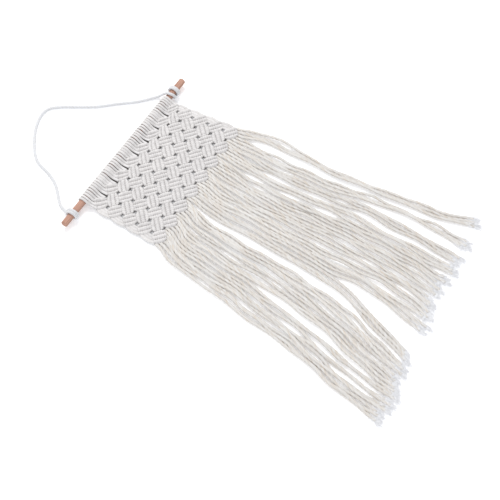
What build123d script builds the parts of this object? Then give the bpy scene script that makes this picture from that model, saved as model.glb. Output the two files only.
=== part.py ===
from build123d import *
import math
import os

# Macrame wall hanging lying flat with its front upward.
# X runs along the dowel, the fringe reaches towards -Y and the hanging cord towards +Y.
# All positions are first measured from the middle of the dowel's axis, on the resting
# surface, and the whole assembly is moved at the end so that the origin is bottom centre.

# ---- driving dimensions, mm ----
dowel_length = 302.0
dowel_diameter = 10.0
cord_diameter = 3.0            # twisted cord of the knotted panel
strand_diameter = 3.6          # the same cord, relaxed in the fringe
hanging_diameter = 4.0
wrap_clearance = 0.3           # between the dowel and the cord wrapped round it
wrap_radius = dowel_diameter / 2 + wrap_clearance + cord_diameter / 2
dowel_height = dowel_diameter / 2 + wrap_clearance + hanging_diameter

heads = 24                     # cords folded in half over the dowel
head_first_x = -101.7
head_pitch = 9.05
head_half_gap = 2.05           # half the distance between a head's two wraps
leg_radius = 1.38              # the cord pulled straight below the dowel
bar_radius = 1.25              # the cord squeezed behind the dowel

knot_rows = 9
panel_middle_x = 3.5
panel_drift_x = 0.5            # sideways drift of the panel's middle per half block
half_block_x = 13.6
widening = 0.1                 # growth of half_block_x per half block downwards
half_block_y = 12.8
panel_start_y = -3.4
panel_slope = 0.052            # the rows rise to the right
first_row_y = -10.0            # top of the first row, just below the lark's heads
panel_thickness = 6.6
ridge_fillet = 1.2
opening_radius = 2.0           # opening where four blocks meet
block_gap = 0.008              # share of a block left free on every side
end_gap = 1.7                  # from the end of a round cord to the slanting side of a block

group_strands = 3
strand_pitch = 4.3
fringe_levels = [-160, -205, -250, -300, -350, -400, -450]
# middle of each group of strands at the levels above, then the place of its tip
fringe_routes = [
    [-116, -120, -123, -132, -141, -149, -162, (-168, -518)],
    [-101, -106, -109, -117, -125, -134, -147, (-152, -523)],
    [-86, -90, -93, -102, -109, -119, -131, (-137, -521)],
    [-72, -75, -78, -78, -84, -92, -112, (-122, -517)],
    [-55, -58, -61, -63, -69, -78, -94, (-107, -515)],
    [-41, -45, -47, -48, -54, -59, -75, (-91, -510)],
    [-20, -22, -23, -22, -27, -37, -55, (-72, -508)],
    [-5, -7, -8, -8, -12, -6, -12, (-24, -509)],
    [10, 8, 8, 7, 3, 8, 4, (-5, -503)],
    [24, 23, 23, 24, 27, 25, 23, (16, -499)],
    [39, 38, 38, 40, 44, 42, 39, (35, -499)],
    [54, 52, 54, 58, 61, 60, 57, (54, -498)],
    [71, 70, 71, 76, 79, 77, 75, (75, -501)],
    [86, 86, 88, 94, 101, 97, 95, (93, -499)],
    [103, 103, 106, 112, 119, 123, 124, (121, -497)],
    [131, 132, 130, 134, 138, 145, 152, (161, -493)],
]

left_knot_x = -129.0
right_knot_x = 133.0
right_exit_x = 119.0
# middle line of the hanging cord, from the left knot to the right one
hanging_route = [
    (-129, 11, 5.0),
    (-127, 24, 2.0),
    (-114, 38, 2.0),
    (-97, 55, 2.0),
    (-87, 78, 2.0),
    (-81, 103, 2.0),
    (-58, 123, 2.0),
    (-30, 141, 2.0),
    (0, 147, 2.0),
    (17, 133, 2.0),
    (32, 108, 2.0),
    (47, 84, 2.0),
    (68, 62, 2.0),
    (84, 41, 2.0),
    (100, 27, 2.0),
    (111, 17, 3.2),
]

nodes = {}


def lattice(c, r):
    """Point of the panel, c half blocks from its left edge and r half blocks down."""
    middle = panel_middle_x + panel_drift_x * r
    x = middle + (c - 8) * (half_block_x + widening * r)
    if r >= 2:
        return x, panel_start_y - half_block_y * r + panel_slope * x
    second = panel_start_y - half_block_y * 2 + panel_slope * x
    return x, first_row_y + (second - first_row_y) * r / 2


def bends(points):
    """The points of a route without those that lie in line with their neighbours."""
    spots = [Vector(*p) for p in points]
    kept = [spots[0]]
    for b, c in zip(spots[1:], spots[2:]):
        if (b - kept[-1]).get_angle(c - b) > 0.5:
            kept.append(b)
    kept.append(spots[-1])
    return kept


def tube(points, radius, name=""):
    """Round cord along straight runs joined by tangent arcs."""
    spots = bends(points)
    radii = []
    for a, b, c in zip(spots, spots[1:], spots[2:]):
        turn = math.radians((b - a).get_angle(c - b))
        radii.append(0.45 * min((b - a).length, (c - b).length) / math.tan(turn / 2))
    route = FilletPolyline(*spots, radius=radii)
    start = Plane(origin=route @ 0, z_dir=route % 0)
    if name:
        print(name, "length", round(route.length, 1), "least radius", round(min(radii), 1))
    return sweep(start * Circle(radius), path=route)


def rod(a, b, radius):
    """Straight round rod between two points."""
    start = Vector(*a)
    run = Vector(*b) - start
    return extrude(Plane(origin=start, z_dir=run) * Circle(radius), run.length)


def make_dowel():
    body = Cylinder(dowel_diameter / 2, dowel_length, rotation=(0, 90, 0))
    body = fillet(body.edges(), 1.2)
    return body.move(Location((0.5, 0, dowel_height)))


def wrap(x):
    """One turn of cord round the dowel."""
    return Torus(wrap_radius, cord_diameter / 2).move(Location((x, 0, dowel_height), (0, 90, 0)))


def leg_end(strand):
    """Place on the first row of blocks where a strand of the heads goes in."""
    c = (strand + 0.5) / 3
    across = c % 2
    return lattice(c, abs(1 - across))


def make_head(i):
    """Lark's head: two turns, the bar behind them and the two strands below."""
    middle = head_first_x + head_pitch * i
    solid = None
    for side, x in ((0, middle - head_half_gap), (1, middle + head_half_gap)):
        end_x, end_y = leg_end(2 * i + side)
        leg = rod((x, -wrap_radius, dowel_height), (end_x, end_y + end_gap, 3.4), leg_radius)
        piece = wrap(x) + leg
        solid = piece if solid is None else solid + piece
    low = dowel_height - wrap_radius
    bar = rod((middle - head_half_gap, 0, low), (middle + head_half_gap, 0, low), bar_radius)
    return solid + bar


def ridge(row, top_c, i):
    """One of a block's three ridges: a row of hitches along its holding cord."""
    low = i / 3
    high = (i + 1) / 3
    near = block_gap
    far = 1 - block_gap
    low = max(low, near)
    high = min(high, far)
    corners = [(near, low), (far, low), (far, high), (near, high)]
    if row % 2 == 0:
        corners = [(low, near), (low, far), (high, far), (high, near)]
    spots = []
    for u, v in corners:
        x, y = lattice(top_c + u - v, row - 1 + u + v)
        spots.append((x, y, 0))
    outline = make_face(Polyline(*spots, close=True))
    bar = extrude(outline, panel_thickness, dir=(0, 0, 1))
    return fillet(bar.faces().sort_by(Axis.Z)[-1].edges(), ridge_fillet)


def make_block(row, top_c):
    block = ridge(row, top_c, 0) + ridge(row, top_c, 1) + ridge(row, top_c, 2)
    corners = [(top_c - 1, row), (top_c + 1, row)]
    if row > 1:
        corners.append((top_c, row - 1))
    if row < knot_rows:
        corners.append((top_c, row + 1))
    for c, r in corners:
        if 0 < c < 16:
            x, y = lattice(c, r)
            block = block - Cylinder(opening_radius, 40).move(Location((x, y, 0)))
    return block


def make_row(row):
    first = 1 if row % 2 else 2
    return [make_block(row, c) for c in range(first, 16, 2)]


def make_selvedge(side):
    """Short lengths of the outer cords that pass the even rows at one edge."""
    pieces = []
    for row in range(2, knot_rows, 2):
        for i in range(3):
            inward = (i + 0.5) / 3
            c = inward if side < 0 else 16 - inward
            top = lattice(c, row - 1 + inward)
            bottom = lattice(c, row + 1 - inward)
            a = (top[0], top[1] - end_gap, 3.2)
            b = (bottom[0], bottom[1] + end_gap, 3.2)
            pieces.append(rod(a, b, cord_diameter / 2))
    return pieces


def strand_start(strand):
    """Place below the last row where a strand leaves its block."""
    c = (strand + 0.5) / 3
    return lattice(c, 10 - abs(1 - c % 2))


def soft_strand(points):
    """Round strand along a smooth curve through the points."""
    curve = Spline(*[Vector(*p) for p in points])
    start = Plane(origin=curve @ 0, z_dir=curve % 0)
    return sweep(start * Circle(strand_diameter / 2), path=curve)


def make_group(g):
    """Three strands of the fringe side by side."""
    route = fringe_routes[g]
    tip_x, tip_y = route[-1]
    pieces = []
    for i in range(group_strands):
        shift = (i - 1) * strand_pitch
        x, y = strand_start(3 * g + i)
        points = [(x, y - end_gap - 0.7, strand_diameter / 2)]
        for level, middle in zip(fringe_levels, route):
            points.append((middle + shift, level, strand_diameter / 2))
        tip_drop = 4 * ((i + g) % 3 - 1)
        points.append((tip_x + shift, tip_y + tip_drop, strand_diameter / 2))
        pieces.append(soft_strand(points))
    return pieces


def around(x, angle):
    """Point on a turn round the dowel; angle 0 faces the hanging cord, 90 is the front."""
    a = math.radians(angle)
    radius = dowel_diameter / 2 + wrap_clearance + hanging_diameter / 2
    return x, radius * math.cos(a), dowel_height + radius * math.sin(a)


def make_left_knot():
    """One tight turn tied off behind the dowel."""
    radius = dowel_diameter / 2 + wrap_clearance + hanging_diameter / 2
    turn = Torus(radius, hanging_diameter / 2)
    turn = turn.move(Location((left_knot_x, 0, dowel_height), (0, 90, 0)))
    tail = rod(around(left_knot_x, 0), (left_knot_x, 9.8, 6.1), hanging_diameter / 2)
    return turn + tail


def make_right_knot():
    """Two turns that cross the dowel: a diagonal one and a square one at the end."""
    points = [(111.4, 16.6, 3.3)]
    angles = range(40, 561, 40)
    for i, angle in enumerate(angles):
        step = min(1.0, angle / 260)
        x = right_exit_x + (right_knot_x - right_exit_x) * step
        points.append(around(x, angle))
    route = Spline(*[Vector(*p) for p in points])
    start = Plane(origin=route @ 0, z_dir=route % 0)
    return sweep(start * Circle(hanging_diameter / 2), path=route)


nodes["dowel"] = [make_dowel()]
nodes["hanging_cord"] = [tube(hanging_route, hanging_diameter / 2, "hanging cord")]
nodes["hanging_knot_left"] = [make_left_knot()]
nodes["hanging_knot_right"] = [make_right_knot()]
for i in range(heads):
    nodes[f"larks_head_{i + 1:02d}"] = [make_head(i)]
for row in range(1, knot_rows + 1):
    nodes[f"knot_row_{row}"] = make_row(row)
nodes["selvedge_left"] = make_selvedge(-1)
nodes["selvedge_right"] = make_selvedge(1)
for g in range(16):
    nodes[f"fringe_{g + 1:02d}"] = make_group(g)

# The hanging cord is left out of the box that places the origin.
held = []
for name, pieces in nodes.items():
    if name != "hanging_cord":
        held.extend(pieces)
box = Compound(children=held).bounding_box()
shift = Location((-(box.min.X + box.max.X) / 2, -(box.min.Y + box.max.Y) / 2, -box.min.Z))
print("shift", [round(v, 2) for v in shift.position], "size", box.size)

os.makedirs("parts", exist_ok=True)
for name, pieces in nodes.items():
    solids = []
    for piece in pieces:
        solids.extend(piece.moved(shift).solids())
    shape = solids[0] if len(solids) == 1 else Compound(label=name, children=solids)
    export_step(shape, f"parts/{name}.step")
    print(name, len(solids), round(sum(s.volume for s in solids)), all(s.is_valid for s in solids))
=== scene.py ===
import math
import random

import bpy
import numpy as np
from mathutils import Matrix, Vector


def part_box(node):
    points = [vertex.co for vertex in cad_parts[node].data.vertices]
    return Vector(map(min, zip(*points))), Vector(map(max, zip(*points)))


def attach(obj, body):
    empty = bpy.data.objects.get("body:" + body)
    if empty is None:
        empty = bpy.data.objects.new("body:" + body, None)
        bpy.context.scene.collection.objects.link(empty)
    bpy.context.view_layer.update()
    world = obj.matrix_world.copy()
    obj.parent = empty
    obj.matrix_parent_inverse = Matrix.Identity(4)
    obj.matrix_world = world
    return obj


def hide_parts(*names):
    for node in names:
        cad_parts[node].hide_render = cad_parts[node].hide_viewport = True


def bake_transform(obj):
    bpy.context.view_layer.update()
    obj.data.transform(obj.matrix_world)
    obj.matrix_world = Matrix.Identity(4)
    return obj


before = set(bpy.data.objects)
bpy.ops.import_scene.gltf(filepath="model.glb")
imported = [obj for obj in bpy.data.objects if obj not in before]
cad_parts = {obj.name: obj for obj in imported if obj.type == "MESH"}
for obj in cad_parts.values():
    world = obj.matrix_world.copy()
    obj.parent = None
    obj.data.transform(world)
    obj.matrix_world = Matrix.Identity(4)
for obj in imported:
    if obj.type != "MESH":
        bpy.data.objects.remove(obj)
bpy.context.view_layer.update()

# ---- shared measures, in metres ----
# Points are first measured from the middle of the dowel, on the resting surface.
DOWEL_LOW, DOWEL_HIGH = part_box("dowel")
DOWEL_HEIGHT = 0.0093           # of its axis, above the resting surface
DOWEL_RADIUS = 0.005
DOWEL_HALF_LENGTH = 0.151
DOWEL_MIDDLE_X = 0.0005
ORIGIN = np.array([
    (DOWEL_LOW.x + DOWEL_HIGH.x) / 2 - DOWEL_MIDDLE_X,
    (DOWEL_LOW.y + DOWEL_HIGH.y) / 2,
    DOWEL_LOW.z + DOWEL_RADIUS - DOWEL_HEIGHT,
])
CORD_RADIUS = 0.0015            # knotting cord, pulled tight in the panel
STRAND_DIAMETER = 0.0036        # the same cord, relaxed in the fringe
HANGING_DIAMETER = 0.0040
HANGING_TURN_RADIUS = DOWEL_RADIUS + 0.0003 + HANGING_DIAMETER / 2
PAINTED_SHADE_TINT = -0.11                  # tint that paints cord near black: painted shade for cord only seen deep in the slits

HEADS = 24
HEAD_FIRST_X = -0.1017
HEAD_PITCH = 0.00905
HEAD_HALF_GAP = 0.00222         # half the distance between a head's two strands
HEAD_CORD_RADIUS = 0.00128
HEAD_END_HEIGHT = 0.0068

KNOT_ROWS = 9
RIDGES = 3                      # holding cords in a block
LOOPS = 6                       # loops along a holding cord
COLUMNS = 16                    # half blocks across the panel
PANEL_MIDDLE_X = 0.0035
PANEL_DRIFT_X = 0.0005          # sideways drift of the panel's middle per half block
HALF_BLOCK_X = 0.0136
WIDENING = 0.0001               # growth of HALF_BLOCK_X per half block downwards
HALF_BLOCK_Y = 0.0128
PANEL_START_Y = -0.0034
PANEL_SLOPE = 0.052             # the rows rise to the right
FIRST_ROW_Y = -0.010            # top of the first row, just below the lark's heads
FIRST_ROW_LIFT = 0.0045         # how far the heads lift the first row
LIFT_START_Y = -0.024
LIFT_REACH = 0.012
CORNER_PINCH = 0.86             # how far a block's corners draw in round the holes

GROUPS = 16
STRAND_PITCH = 0.0048
TIP_PITCH = 0.0054
FIBRES_PER_TIP = 90

FRINGE_LEVELS = [-0.160, -0.205, -0.250, -0.300, -0.350, -0.400, -0.450]
# middle of each group of strands at the levels above, then the place of its tip
FRINGE_ROUTES = [
    [-0.116, -0.120, -0.123, -0.132, -0.141, -0.149, -0.162, (-0.168, -0.518)],
    [-0.101, -0.106, -0.109, -0.117, -0.125, -0.134, -0.147, (-0.152, -0.523)],
    [-0.086, -0.090, -0.093, -0.102, -0.109, -0.119, -0.131, (-0.137, -0.521)],
    [-0.072, -0.075, -0.078, -0.078, -0.084, -0.092, -0.112, (-0.122, -0.517)],
    [-0.055, -0.058, -0.061, -0.063, -0.069, -0.078, -0.094, (-0.107, -0.515)],
    [-0.041, -0.045, -0.047, -0.048, -0.054, -0.059, -0.075, (-0.091, -0.510)],
    [-0.020, -0.022, -0.023, -0.022, -0.027, -0.037, -0.055, (-0.072, -0.508)],
    [-0.005, -0.007, -0.008, -0.008, -0.012, -0.006, -0.012, (-0.024, -0.509)],
    [0.010, 0.008, 0.008, 0.007, 0.003, 0.008, 0.004, (-0.005, -0.503)],
    [0.024, 0.023, 0.023, 0.024, 0.027, 0.025, 0.023, (0.016, -0.499)],
    [0.039, 0.038, 0.038, 0.040, 0.044, 0.042, 0.039, (0.035, -0.499)],
    [0.054, 0.052, 0.054, 0.058, 0.061, 0.060, 0.057, (0.054, -0.498)],
    [0.071, 0.070, 0.071, 0.076, 0.079, 0.077, 0.075, (0.075, -0.501)],
    [0.086, 0.086, 0.088, 0.094, 0.101, 0.097, 0.095, (0.093, -0.499)],
    [0.103, 0.103, 0.106, 0.112, 0.119, 0.123, 0.124, (0.121, -0.497)],
    [0.131, 0.132, 0.130, 0.134, 0.138, 0.145, 0.152, (0.161, -0.493)],
]
# middle line of the hanging cord, from the left knot to the right one
HANGING_ROUTE = [
    (-0.129, 0.011, 0.0050),
    (-0.127, 0.024, 0.0020),
    (-0.114, 0.038, 0.0020),
    (-0.097, 0.055, 0.0020),
    (-0.087, 0.078, 0.0020),
    (-0.081, 0.103, 0.0020),
    (-0.058, 0.124, 0.0020),
    (-0.030, 0.142, 0.0020),
    (0.001, 0.149, 0.0020),
    (0.017, 0.133, 0.0020),
    (0.032, 0.108, 0.0020),
    (0.047, 0.084, 0.0020),
    (0.068, 0.062, 0.0020),
    (0.084, 0.041, 0.0020),
    (0.100, 0.027, 0.0020),
    (0.111, 0.017, 0.0032),
]


# ---- camera ----
def make_camera():
    """A long lens, above and to the left of the fringe."""
    data = bpy.data.cameras.new("Camera")
    data.lens = 86.4
    data.sensor_width = 36
    data.dof.use_dof = False
    camera = bpy.data.objects.new("Camera", data)
    bpy.context.scene.collection.objects.link(camera)
    place = Vector(ORIGIN) + Vector((-0.7633, -0.6902, 1.4454))
    aim = Vector(ORIGIN) + Vector((-0.0454, -0.2429, 0.006))
    camera.location = place
    camera.rotation_euler = (aim - place).to_track_quat("-Z", "Y").to_euler()
    bpy.context.scene.camera = camera


# ---- paths and tubes ----
def smooth_path(points, step):
    """Evenly spaced points along a smooth curve through the given ones."""
    spots = np.array(points, float)
    gaps = np.linalg.norm(np.diff(spots, axis=0), axis=1)
    marks = np.concatenate([[0], np.cumsum(gaps)])
    slopes = np.gradient(spots, marks, axis=0)
    fine = np.linspace(0, marks[-1], max(8, int(marks[-1] / step * 2)))
    span = np.clip(np.searchsorted(marks, fine, side="right") - 1, 0, len(gaps) - 1)
    width = gaps[span][:, None]
    t = (fine - marks[span])[:, None] / width
    curve = (
        (2 * t**3 - 3 * t**2 + 1) * spots[span]
        + (t**3 - 2 * t**2 + t) * width * slopes[span]
        + (3 * t**2 - 2 * t**3) * spots[span + 1]
        + (t**3 - t**2) * width * slopes[span + 1]
    )
    run = np.concatenate([[0], np.cumsum(np.linalg.norm(np.diff(curve, axis=0), axis=1))])
    even = np.linspace(0, run[-1], max(4, int(run[-1] / step) + 1))
    return np.stack([np.interp(even, run, curve[:, k]) for k in range(3)], axis=1)


def cord_path(points, step):
    """Evenly spaced points read from the NURBS spline that has the given control points."""
    curve = bpy.data.curves.new("Route", "CURVE")
    curve.dimensions = "3D"
    curve.resolution_u = 40
    spline = curve.splines.new("NURBS")
    spline.points.add(len(points) - 1)
    for spot, point in zip(spline.points, points):
        spot.co = (*point, 1.0)
    spline.order_u = 3
    spline.use_endpoint_u = True
    holder = bpy.data.objects.new("Route", curve)
    line = bpy.data.meshes.new_from_object(holder)
    spots = np.array([vertex.co for vertex in line.vertices])
    bpy.data.meshes.remove(line)
    bpy.data.objects.remove(holder)
    bpy.data.curves.remove(curve)
    run = np.concatenate([[0], np.cumsum(np.linalg.norm(np.diff(spots, axis=0), axis=1))])
    even = np.linspace(0, run[-1], int(run[-1] / step) + 1)
    return np.stack([np.interp(even, run, spots[:, k]) for k in range(3)], axis=1)


def path_length(path):
    """Length of a path along its points."""
    return float(np.linalg.norm(np.diff(path, axis=0), axis=1).sum())


def tube(path, radius, reference, sides=12, wide=1.0, deep=1.0, plies=3, lay=0.0078,
         groove=0.14, phase=0.0, taper=(1.0, 1.0), tint_and_painted_shade=0.5):
    """Closed twisted cord along a path: points, faces, cord coordinates and a tint, which the
    shade tint turns into near-black painted shade.

    The cross-section has one lobe for each ply, and turns once in each lay length. It is
    wide square to the reference direction, and deep along it."""
    path = np.asarray(path, float)
    forward = np.gradient(path, axis=0)
    forward /= np.linalg.norm(forward, axis=1)[:, None]
    across = np.cross(np.asarray(reference, float), forward)
    across /= np.linalg.norm(across, axis=1)[:, None]
    above = np.cross(forward, across)
    run = np.concatenate([[0], np.cumsum(np.linalg.norm(np.diff(path, axis=0), axis=1))])
    angle = np.linspace(0, 2 * math.pi, sides, endpoint=False)[None, :]
    twist = angle - 2 * math.pi * run[:, None] / lay + phase
    lobes = 1 - groove + groove * np.abs(np.cos(plies / 2 * twist))
    ends = np.ones(len(path))
    ends[0] = taper[0]
    ends[-1] = taper[1]
    size = radius * lobes * ends[:, None]
    points = (
        path[:, None, :]
        + (size * wide * np.cos(angle))[:, :, None] * across[:, None, :]
        + (size * deep * np.sin(angle))[:, :, None] * above[:, None, :]
    )
    coordinates = np.stack([
        radius * np.cos(twist),
        radius * np.sin(twist),
        np.broadcast_to(run[:, None], twist.shape),
    ], axis=2)
    rings = len(path)
    index = np.arange(rings * sides).reshape(rings, sides)
    here = index[:-1]
    there = index[1:]
    faces = np.stack([here, np.roll(here, -1, 1), np.roll(there, -1, 1), there], axis=2)
    faces = faces.reshape(-1, 4)
    caps = []
    for k in range(sides // 2 - 1):
        caps.append([k + 1, k, sides - 1 - k, sides - 2 - k])
        last = (rings - 1) * sides
        caps.append([last + k, last + k + 1, last + sides - 2 - k, last + sides - 1 - k])
    faces = np.concatenate([faces, np.array(caps)])
    count = rings * sides
    # tints of 0.1 and up are the cord's own tone; the shade tint lands near 0, which paints
    # near-black shade
    tints_and_painted_shade = np.full(count, 0.1 + 0.9 * tint_and_painted_shade)
    return points.reshape(-1, 3), faces, coordinates.reshape(-1, 3), tints_and_painted_shade


def make_object(name, parts, material):
    """One mesh object from several tubes, moved from dowel measures to the shared frame."""
    points = np.concatenate([p[0] for p in parts]) + ORIGIN
    offsets = np.cumsum([0] + [len(p[0]) for p in parts[:-1]])
    faces = np.concatenate([p[1] + o for p, o in zip(parts, offsets)])
    coordinates = np.concatenate([p[2] for p in parts])
    tints_and_painted_shade = np.concatenate([p[3] for p in parts])
    mesh = bpy.data.meshes.new(name)
    mesh.vertices.add(len(points))
    mesh.vertices.foreach_set("co", points.astype(np.float32).ravel())
    mesh.loops.add(faces.size)
    mesh.loops.foreach_set("vertex_index", faces.astype(np.int32).ravel())
    mesh.polygons.add(len(faces))
    mesh.polygons.foreach_set("loop_start", np.arange(0, faces.size, 4, dtype=np.int32))
    mesh.update(calc_edges=True)
    mesh.shade_smooth()
    along = mesh.attributes.new("cord_space", "FLOAT_VECTOR", "POINT")
    along.data.foreach_set("vector", coordinates.astype(np.float32).ravel())
    shade = mesh.attributes.new("cord_tint_and_painted_shade", "FLOAT", "POINT")
    shade.data.foreach_set("value", tints_and_painted_shade.astype(np.float32))
    mesh.materials.append(material)
    obj = bpy.data.objects.new(name, mesh)
    bpy.context.scene.collection.objects.link(obj)
    return obj


# ---- materials ----
def new_material(name):
    material = bpy.data.materials.new(name)
    material.use_nodes = True
    tree = material.node_tree
    return material, tree, tree.nodes["Principled BSDF"]


def noise(tree, vector, scale, detail=3.0):
    node = tree.nodes.new("ShaderNodeTexNoise")
    node.inputs["Scale"].default_value = scale
    node.inputs["Detail"].default_value = detail
    tree.links.new(vector, node.inputs["Vector"])
    return node.outputs["Fac"]


def stretched(tree, vector, scale):
    node = tree.nodes.new("ShaderNodeMapping")
    node.inputs["Scale"].default_value = scale
    tree.links.new(vector, node.inputs["Vector"])
    return node.outputs["Vector"]


def ramp(tree, factor, stops):
    node = tree.nodes.new("ShaderNodeValToRGB")
    node.color_ramp.elements[0].position = stops[0][0]
    node.color_ramp.elements[0].color = (*stops[0][1], 1)
    node.color_ramp.elements[1].position = stops[-1][0]
    node.color_ramp.elements[1].color = (*stops[-1][1], 1)
    for place, colour in stops[1:-1]:
        node.color_ramp.elements.new(place).color = (*colour, 1)
    tree.links.new(factor, node.inputs["Fac"])
    return node.outputs["Color"]


def bump(tree, height, strength, distance, normal=None):
    node = tree.nodes.new("ShaderNodeBump")
    node.inputs["Strength"].default_value = strength
    node.inputs["Distance"].default_value = distance
    tree.links.new(height, node.inputs["Height"])
    if normal is not None:
        tree.links.new(normal, node.inputs["Normal"])
    return node.outputs["Normal"]


def attribute(tree, name, output):
    node = tree.nodes.new("ShaderNodeAttribute")
    node.attribute_name = name
    return node.outputs[output]


def mixed(tree, mode, factor, first, second):
    node = tree.nodes.new("ShaderNodeMix")
    node.data_type = "RGBA"
    node.blend_type = mode
    node.inputs["Factor"].default_value = factor
    tree.links.new(first, node.inputs["A"])
    tree.links.new(second, node.inputs["B"])
    return node.outputs["Result"]


def painted_crevice_shade(tree, colour, painted_shade_colour, reach):
    """Painted shade: darken a colour where other cord is close in front of the surface."""
    node = tree.nodes.new("ShaderNodeAmbientOcclusion")
    node.samples = 6
    node.inputs["Distance"].default_value = reach
    partly = tuple(0.72 + 0.28 * part for part in painted_shade_colour)
    stops = [(0.10, painted_shade_colour), (0.27, partly), (0.58, (1.0, 1.0, 1.0))]
    shade = ramp(tree, node.outputs["AO"], stops)
    return mixed(tree, "MULTIPLY", 1.0, colour, shade)


def cotton(name, dark, light, fibre_depth, painted_shade_colour, reach, painted_glow=0.0, streaks=0.0):
    """Twisted cotton: fine fibres along the ply, soft blotches and a cord-to-cord tint.

    The lowest tint is near-black painted shade, the colour darkens as painted shade where other
    cord is close, and the glow is painted light that brightens the whole surface."""
    material, tree, shader = new_material(name)
    cord = attribute(tree, "cord_space", "Vector")
    tint_and_painted_shade = attribute(tree, "cord_tint_and_painted_shade", "Fac")
    fibres = noise(tree, stretched(tree, cord, (7000, 7000, 320)), 1.0, 4.0)
    blotches = noise(tree, stretched(tree, cord, (260, 260, 90)), 1.0, 3.0)
    streaked = noise(tree, stretched(tree, cord, (1900, 1900, 36)), 1.0, 2.0)
    by_streak = ramp(tree, streaked, [(0.36, (0.80, 0.65, 0.48)), (0.46, (1.0, 1.0, 1.0))])
    # the near-black first stop is painted shade, for cord given the shade tint
    by_cord = ramp(tree, tint_and_painted_shade, [(0.0, (0.07, 0.05, 0.04)), (0.06, dark), (1.0, light)])
    by_fibre = ramp(tree, fibres, [(0.30, (0.80, 0.79, 0.78)), (0.62, (1.0, 1.0, 1.0))])
    by_blotch = ramp(tree, blotches, [(0.35, (0.93, 0.915, 0.89)), (0.65, (1.0, 1.0, 1.0))])
    colour = mixed(tree, "MULTIPLY", 0.75, by_cord, by_fibre)
    colour = mixed(tree, "MULTIPLY", 0.9, colour, by_blotch)
    colour = mixed(tree, "MULTIPLY", streaks, colour, by_streak)
    # painted shade where other cord is close in front of the surface
    colour = painted_crevice_shade(tree, colour, painted_shade_colour, reach)
    tree.links.new(colour, shader.inputs["Base Color"])
    # painted light: the cotton glows in its own light colour
    shader.inputs["Emission Color"].default_value = (*light, 1)
    shader.inputs["Emission Strength"].default_value = painted_glow
    shader.inputs["Roughness"].default_value = 0.92
    shader.inputs["Specular IOR Level"].default_value = 0.15
    shader.inputs["Sheen Weight"].default_value = 0.25
    shader.inputs["Sheen Roughness"].default_value = 0.6
    tree.links.new(bump(tree, fibres, 0.6, fibre_depth), shader.inputs["Normal"])
    return material


def dowel_wood():
    """Pale pinkish wood with fine grain along the rod."""
    material, tree, shader = new_material("dowel wood")
    place = tree.nodes.new("ShaderNodeTexCoord").outputs["Object"]
    grain = noise(tree, stretched(tree, place, (18, 900, 900)), 1.0, 5.0)
    bands = noise(tree, stretched(tree, place, (9, 190, 190)), 1.0, 3.0)
    pores = noise(tree, stretched(tree, place, (220, 5200, 5200)), 1.0, 2.0)
    base = ramp(tree, bands, [(0.30, (0.41, 0.225, 0.168)), (0.70, (0.57, 0.345, 0.268))])
    lines = ramp(tree, grain, [(0.38, (0.66, 0.58, 0.52)), (0.58, (1.0, 1.0, 1.0))])
    colour = mixed(tree, "MULTIPLY", 0.8, base, lines)
    tree.links.new(colour, shader.inputs["Base Color"])
    shader.inputs["Roughness"].default_value = 0.62
    shader.inputs["Specular IOR Level"].default_value = 0.35
    tree.links.new(bump(tree, pores, 0.35, 0.0002), shader.inputs["Normal"])
    return material


# ---- hanging cord and its knots ----
def around(x, angle, radius):
    """Point on a turn round the dowel; angle 0 faces the hanging cord, 90 is the front."""
    a = math.radians(angle)
    return x, radius * math.cos(a), DOWEL_HEIGHT + radius * math.sin(a)


def make_hanging_cord(material):
    path = cord_path(HANGING_ROUTE, 0.0008)
    part = tube(path, HANGING_DIAMETER / 2, (0, 0, 1), sides=14, wide=1.15, lay=0.006,
                groove=0.03, tint_and_painted_shade=0.8)
    obj = make_object("Hanging_cord", [part], material)
    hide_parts("hanging_cord")
    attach(obj, "hanger")


def knot_cord(points):
    """Hanging cord pulled slightly flat where it turns round the dowel."""
    return tube(smooth_path(points, 0.0006), HANGING_DIAMETER / 2, (1, 0, 0.01), sides=14,
                deep=1.15, lay=0.006, groove=0.03, tint_and_painted_shade=0.8)


def make_left_knot(material):
    """Two tight turns round the dowel, with a small tuck behind."""
    radius = HANGING_TURN_RADIUS
    turn = [around(-0.1328 + 0.0076 * a / 720, a, radius) for a in range(-40, 721, 10)]
    tail = [(-0.129, 0.0130, 0.0046), (-0.1292, 0.0110, 0.0060), (-0.1292, 0.0090, 0.0080)]
    tail += [around(-0.1288, 30, radius + 0.0010), around(-0.1284, 60, radius + 0.0006)]
    parts = [knot_cord(turn), knot_cord(tail)]
    obj = make_object("Hanging_knot_left", parts, material)
    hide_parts("hanging_knot_left")
    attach(obj, "hanger")


def make_right_knot(material):
    """A diagonal turn and a square one, with bare wood between them."""
    points = [(0.1105, 0.0172, 0.0031)]
    for angle in range(40, 921, 20):
        share = min(1.0, max(0.0, (angle - 90) / 230))
        x = 0.1155 + 0.0108 * share + 0.0036 * max(0, angle - 320) / 600
        points.append(around(x, angle, HANGING_TURN_RADIUS))
    obj = make_object("Hanging_knot_right", [knot_cord(points)], material)
    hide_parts("hanging_knot_right")
    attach(obj, "hanger")


# ---- knotted panel ----
def lattice(c, r):
    """Point of the panel, c half blocks from its left edge and r half blocks down."""
    x = PANEL_MIDDLE_X + PANEL_DRIFT_X * r + (c - COLUMNS / 2) * (HALF_BLOCK_X + WIDENING * r)
    if r >= 2:
        return x, PANEL_START_Y - HALF_BLOCK_Y * r + PANEL_SLOPE * x
    second = PANEL_START_Y - 2 * HALF_BLOCK_Y + PANEL_SLOPE * x
    return x, FIRST_ROW_Y + (second - FIRST_ROW_Y) * r / 2


def leg_end(strand):
    """Place on the first row of blocks where a strand of the heads goes in."""
    c = (strand + 0.5) / 3
    r = abs(1 - c % 2)
    return lattice(c + 0.1 * (1 - c % 2), r)


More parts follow.
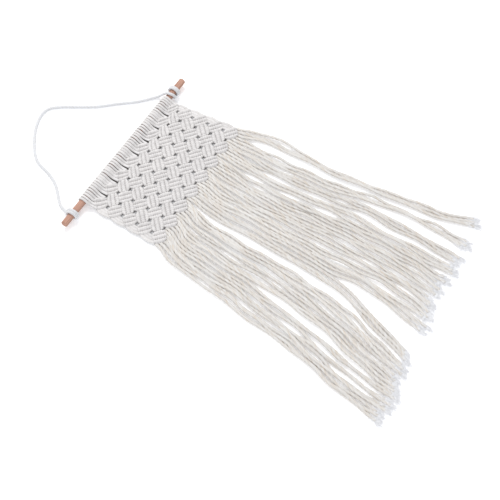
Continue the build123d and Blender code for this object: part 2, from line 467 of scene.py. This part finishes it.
def head_strand(middle, side, strand, draw):
    """Half of a lark's head: the bar below, the turn over the dowel and the strand it becomes."""
    x = middle + side * (HEAD_HALF_GAP + draw.uniform(-0.0001, 0.0001))
    lean = draw.uniform(-0.0006, 0.0006)
    end_x, end_y = leg_end(strand)
    end_y = min(end_y, -0.0105) - 0.0020
    h = DOWEL_HEIGHT
    points = [
        (middle, 0.0006, h - 0.0066),
        (x - side * 0.0006, 0.0022, h - 0.0062),
        (x + lean, 0.0050, h - 0.0039),
        (x + lean, 0.0063, h),
        (x + lean, 0.0045, h + 0.0044),
        (x, 0.0, h + 0.0063),
        (x, -0.0042, h + 0.0049),
        (x * 0.8 + end_x * 0.2, -0.0080, h + 0.0018),
        (x * 0.5 + end_x * 0.5, -0.0118, HEAD_END_HEIGHT + 0.0014),
        (end_x, end_y, HEAD_END_HEIGHT),
    ]
    return tube(smooth_path(points, 0.0006), HEAD_CORD_RADIUS, (1, 0, 0),
                deep=draw.uniform(1.36, 1.86), groove=0.06, phase=draw.uniform(0, 6.28),
                tint_and_painted_shade=draw.random())


def painted_shade_behind_head(middle, i):
    """A near-black cord behind a lark's head, painted shade seen only through the slits below the
    dowel.
    """
    first_x, first_y = leg_end(2 * i)
    second_x, second_y = leg_end(2 * i + 1)
    points = [
        (middle, -0.0030, 0.0026),
        (middle, -0.0090, 0.0024),
        ((first_x + second_x) / 2, min(first_y, second_y) - 0.0010, 0.0026),
    ]
    return tube(smooth_path(points, 0.001), 0.0018, (0, 0, 1), wide=2.7, tint_and_painted_shade=PAINTED_SHADE_TINT)


def make_heads(material):
    draw = random.Random(3)
    for i in range(HEADS):
        middle = HEAD_FIRST_X + HEAD_PITCH * i + draw.uniform(-0.0005, 0.0005)
        parts = [head_strand(middle, -1, 2 * i, draw), head_strand(middle, 1, 2 * i + 1, draw)]
        if 0 < i < HEADS - 1:
            # a near-black cord of painted shade behind the head, for the dark slits
            parts.append(painted_shade_behind_head(middle, i))
        obj = make_object(f"Larks_head_{i + 1:02d}", parts, material)
        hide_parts(f"larks_head_{i + 1:02d}")
        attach(obj, "panel")


def block_point(row, top_c, u, v):
    """Point of a block; u runs down to the right and v down to the left, each from 0 to 1.

    The block's corners draw in, which opens the holes between blocks."""
    a = 2 * u - 1
    b = 2 * v - 1
    pinch = 1.03 - CORNER_PINCH * (abs(a) * abs(b)) ** 4
    u = 0.5 + a * pinch / 2
    v = 0.5 + b * pinch / 2
    return lattice(top_c + u - v, row - 1 + u + v)


def place_in_block(row, top_c, along, over, height):
    """Point given by its share along the holding cords and its share across them."""
    if row % 2:
        x, y = block_point(row, top_c, along, over)
    else:
        x, y = block_point(row, top_c, over, along)
    share = min(1.0, max(0.0, (y - LIFT_START_Y) / LIFT_REACH))
    return x, y, height + FIRST_ROW_LIFT * share * share


def hitch_loop(row, top_c, ridge, place, draw):
    """One of the two loops of a double half hitch, arched over its holding cord."""
    slant = 0.022
    along = (place + 0.5) / LOOPS + draw.uniform(-0.008, 0.008)
    middle = (ridge + 0.5) / RIDGES
    swell = draw.uniform(-0.0002, 0.0002)
    profile = [(-0.155, 0.0008), (-0.138, 0.0030), (-0.082, 0.0051), (0.0, 0.0060),
               (0.082, 0.0051), (0.138, 0.0030), (0.155, 0.0008)]
    points = []
    for over, height in profile:
        shift = along + slant * over / 0.17
        points.append(place_in_block(row, top_c, shift, middle + over, height + swell))
    start = np.array(place_in_block(row, top_c, 0.0, middle, 0))
    end = np.array(place_in_block(row, top_c, 1.0, middle, 0))
    return tube(smooth_path(points, 0.0006), CORD_RADIUS, end - start, sides=10, deep=1.50,
                groove=0.06, phase=draw.uniform(0, 6.28), tint_and_painted_shade=draw.random())


def holding_cord(row, top_c, ridge, draw):
    """The straight cord inside a ridge, seen only between the loops and at its ends."""
    middle = (ridge + 0.5) / RIDGES
    along = (-0.03, 0.25, 0.5, 0.75, 1.03)
    points = [place_in_block(row, top_c, share, middle, 0.0030) for share in along]
    return tube(smooth_path(points, 0.0008), 0.0021, (0, 0, 1), tint_and_painted_shade=draw.random())


def make_rows(material):
    draw = random.Random(11)
    for row in range(1, KNOT_ROWS + 1):
        parts = []
        for top_c in range(1 if row % 2 else 2, COLUMNS, 2):
            for ridge in range(RIDGES):
                parts.append(holding_cord(row, top_c, ridge, draw))
                for place in range(LOOPS):
                    parts.append(hitch_loop(row, top_c, ridge, place, draw))
        obj = make_object(f"Knot_row_{row}", parts, material)
        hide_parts(f"knot_row_{row}")
        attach(obj, "panel")


def make_selvedges(material):
    """The outer cords that pass the even rows in shallow bows at each edge."""
    draw = random.Random(5)
    for side, name in ((-1, "left"), (1, "right")):
        parts = []
        for row in range(2, KNOT_ROWS, 2):
            for i in range(3):
                inward = 0.14 + 0.27 * i
                c = inward if side < 0 else COLUMNS - inward
                x_top, y_top = lattice(c, row - 1 + inward * 0.8)
                x_low, y_low = lattice(c, row + 1 - inward * 0.8)
                bow = side * 0.0008 * (1 - inward)
                points = [
                    (x_top - side * 0.0012, y_top + 0.001, 0.0036),
                    ((x_top + x_low) / 2 + bow, (y_top + y_low) / 2, 0.0040),
                    (x_low - side * 0.0012, y_low - 0.001, 0.0036),
                ]
                parts.append(tube(smooth_path(points, 0.0006), CORD_RADIUS * 1.1, (0, 0, 1),
                                  wide=1.55, phase=draw.uniform(0, 6.28), tint_and_painted_shade=draw.random()))
        obj = make_object(f"Selvedge_{name}", parts, material)
        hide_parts(f"selvedge_{name}")
        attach(obj, "panel")


# ---- fringe ----
def strand_path(g, i, draw):
    """Route of one strand: its group's route, its own place in the group and a slow wander."""
    strand = 3 * g + i
    c = (strand + 0.5) / 3
    start_x, start_y = lattice(c, KNOT_ROWS + 1 - abs(1 - c % 2))
    side = i - 1
    points = [(start_x, start_y + 0.0015, 0.0034), (start_x, start_y - 0.006, 0.0036)]
    route = FRINGE_ROUTES[g]
    for level, middle in zip(FRINGE_LEVELS, route):
        wander = draw.uniform(-1, 1) * (0.0020 - 0.010 * (level + 0.16))
        height = 0.0020 + draw.choice((0.0, 0.0006, 0.0016, 0.0024))
        points.append((middle + side * STRAND_PITCH + wander, level, height))
    tip_x, tip_y = route[-1]
    drop = 0.004 * ((i + g) % 3 - 1) + draw.uniform(-0.002, 0.002)
    end_x = tip_x + side * TIP_PITCH + draw.uniform(-0.001, 0.001)
    points.append((end_x, tip_y + drop + 0.006, 0.0020))
    path = cord_path(points, 0.0007)
    run = np.linspace(0, path_length(path), len(path))
    fade = np.clip(run / 0.02, 0, 1)
    wave = 2 * math.pi * run / draw.uniform(0.050, 0.090)
    path[:, 0] += fade * 0.0009 * np.sin(wave + draw.uniform(0, 6.28))
    path[:, 2] += fade * 0.0005 * (1 + np.sin(wave + draw.uniform(0, 6.28)))
    return path


def make_strand(g, i, material, draw):
    path = strand_path(g, i, draw)
    part = tube(path, STRAND_DIAMETER / 2, (0, 0, 1), sides=16, wide=draw.uniform(1.25, 1.52),
                plies=4, groove=0.30, lay=0.034, phase=draw.uniform(0, 6.28), tint_and_painted_shade=draw.random())
    obj = make_object(f"Fringe_{g + 1:02d}_strand_{i + 1}", [part], material)
    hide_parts(f"fringe_{g + 1:02d}")
    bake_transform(obj)
    return path


def frayed_end(path, draw):
    """Loose fibres that open out from the last stretch of a strand."""
    last = path[-1]
    forward = path[-1] - path[-12]
    forward /= np.linalg.norm(forward)
    parts = []
    for _ in range(FIBRES_PER_TIP):
        back = draw.uniform(0.0, 0.016)
        length = draw.uniform(0.007, 0.014)
        turn = draw.uniform(0, 2 * math.pi)
        spread = draw.uniform(0.04, 0.28)
        inner = draw.uniform(0, 0.0024)
        root = last - forward * back
        side = np.array([-forward[1], forward[0], 0.0])
        out = side * math.cos(turn) + np.array([0, 0, 0.45]) * math.sin(turn)
        a = root + out * inner
        b = a + forward * length * 0.5 + out * spread * length * 0.35
        c = a + forward * length + out * spread * length
        c = c + side * draw.uniform(-0.0015, 0.0015)
        for point in (a, b, c):
            point[2] = max(point[2], 0.0003)
        parts.append(tube(smooth_path([a, b, c], 0.0015), draw.uniform(0.00022, 0.00040),
                          (0, 0, 1), sides=4, groove=0.0, taper=(1.0, 0.6), tint_and_painted_shade=draw.random()))
    return parts


def make_fringe(material, tip_material):
    draw = random.Random(29)
    for g in range(GROUPS):
        fibres = []
        for i in range(3):
            path = make_strand(g, i, material, draw)
            fibres.extend(frayed_end(path, draw))
        obj = make_object(f"Fringe_{g + 1:02d}_frayed_tips", fibres, tip_material)
        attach(obj, "fringe")


# ---- dowel ----
def make_dowel(material):
    """A rod with slightly rounded ends."""
    half = DOWEL_HALF_LENGTH
    rounding = [(0.0, 0.0001), (0.0, 0.0030), (0.0003, 0.0044), (0.0013, DOWEL_RADIUS)]
    stations = [(-half + inset, radius) for inset, radius in rounding]
    stations += [(x, DOWEL_RADIUS) for x in np.linspace(-half + 0.004, half - 0.004, 60)]
    stations += [(half - inset, radius) for inset, radius in reversed(rounding)]
    sides = 48
    points = []
    for x, radius in stations:
        for k in range(sides):
            a = 2 * math.pi * k / sides
            y = radius * math.cos(a)
            z = DOWEL_HEIGHT + radius * math.sin(a)
            points.append((x + DOWEL_MIDDLE_X, y, z))
    index = np.arange(len(points)).reshape(len(stations), sides)
    here = index[:-1]
    there = index[1:]
    faces = np.stack([here, there, np.roll(there, -1, 1), np.roll(here, -1, 1)], axis=2)
    points = np.array(points)
    rod = (points, faces.reshape(-1, 4), points, np.zeros(len(points)))
    obj = make_object("Dowel_rod", [rod], material)
    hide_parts("dowel")
    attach(obj, "dowel")


# ---- surroundings ----
def make_floor():
    data = bpy.data.meshes.new("Table")
    size = 6.0
    corners = [(-size, -size, 0), (size, -size, 0), (size, size, 0), (-size, size, 0)]
    data.from_pydata(corners, [], [(0, 1, 2, 3)])
    floor = bpy.data.objects.new("Table", data)
    bpy.context.scene.collection.objects.link(floor)
    material, _, shader = new_material("white table")
    shader.inputs["Base Color"].default_value = (0.92, 0.92, 0.93, 1)
    shader.inputs["Emission Color"].default_value = (0.93, 0.96, 1.0, 1)
    shader.inputs["Emission Strength"].default_value = 0.22
    shader.inputs["Roughness"].default_value = 0.7
    shader.inputs["Specular IOR Level"].default_value = 0.2
    data.materials.append(material)


def make_light(name, place, size, power, colour=(1, 1, 1)):
    data = bpy.data.lights.new(name, "AREA")
    data.shape = "DISK"
    data.size = size
    data.energy = power
    data.color = colour
    lamp = bpy.data.objects.new(name, data)
    lamp.location = place
    lamp.rotation_euler = (Vector((0, 0, 0)) - Vector(place)).to_track_quat("-Z", "Y").to_euler()
    bpy.context.scene.collection.objects.link(lamp)


def make_surroundings():
    make_floor()
    make_light("Key light", (1.2, 1.4, 2.2), 1.4, 52, (1.0, 0.995, 0.985))
    make_light("Fill light", (-1.8, -0.8, 2.0), 2.0, 25, (0.98, 0.99, 1.0))
    world = bpy.data.worlds.new("Studio")
    world.use_nodes = True
    world.node_tree.nodes["Background"].inputs["Color"].default_value = (1.0, 1.0, 1.0, 1)
    world.node_tree.nodes["Background"].inputs["Strength"].default_value = 0.66
    scene = bpy.context.scene
    scene.world = world
    scene.view_settings.view_transform = "Standard"
    scene.view_settings.look = "None"


make_camera()
# each cotton's fourth colour and reach set its painted crevice shade, and the glow is painted
# light
hanging = cotton("hanging cotton", (0.640, 0.655, 0.695), (0.705, 0.720, 0.755),
                 0.0002, (0.76, 0.75, 0.75), 0.004)
# the lark's heads take lighter painted shade and a painted glow, to read brighter than the
# knotted rows
looped = cotton("looped cotton", (0.66, 0.65, 0.66), (0.74, 0.73, 0.74),
                0.0003, (0.46, 0.40, 0.37), 0.0034, painted_glow=0.05)
knotted = cotton("knotted cotton", (0.67, 0.66, 0.67), (0.75, 0.74, 0.75),
                 0.0003, (0.15, 0.12, 0.11), 0.006)
fringe = cotton("fringe cotton", (0.640, 0.629, 0.621), (0.722, 0.714, 0.705),
                0.0004, (0.50, 0.34, 0.20), 0.0050, painted_glow=0.05, streaks=0.65)
frayed = cotton("frayed cotton", (0.66, 0.67, 0.70), (0.72, 0.73, 0.76),
                0.0001, (0.95, 0.95, 0.96), 0.002, painted_glow=0.26)
make_hanging_cord(hanging)
make_fringe(fringe, frayed)
make_left_knot(hanging)
make_right_knot(hanging)
make_heads(looped)
make_rows(knotted)
make_selvedges(knotted)
make_dowel(dowel_wood())
make_surroundings()
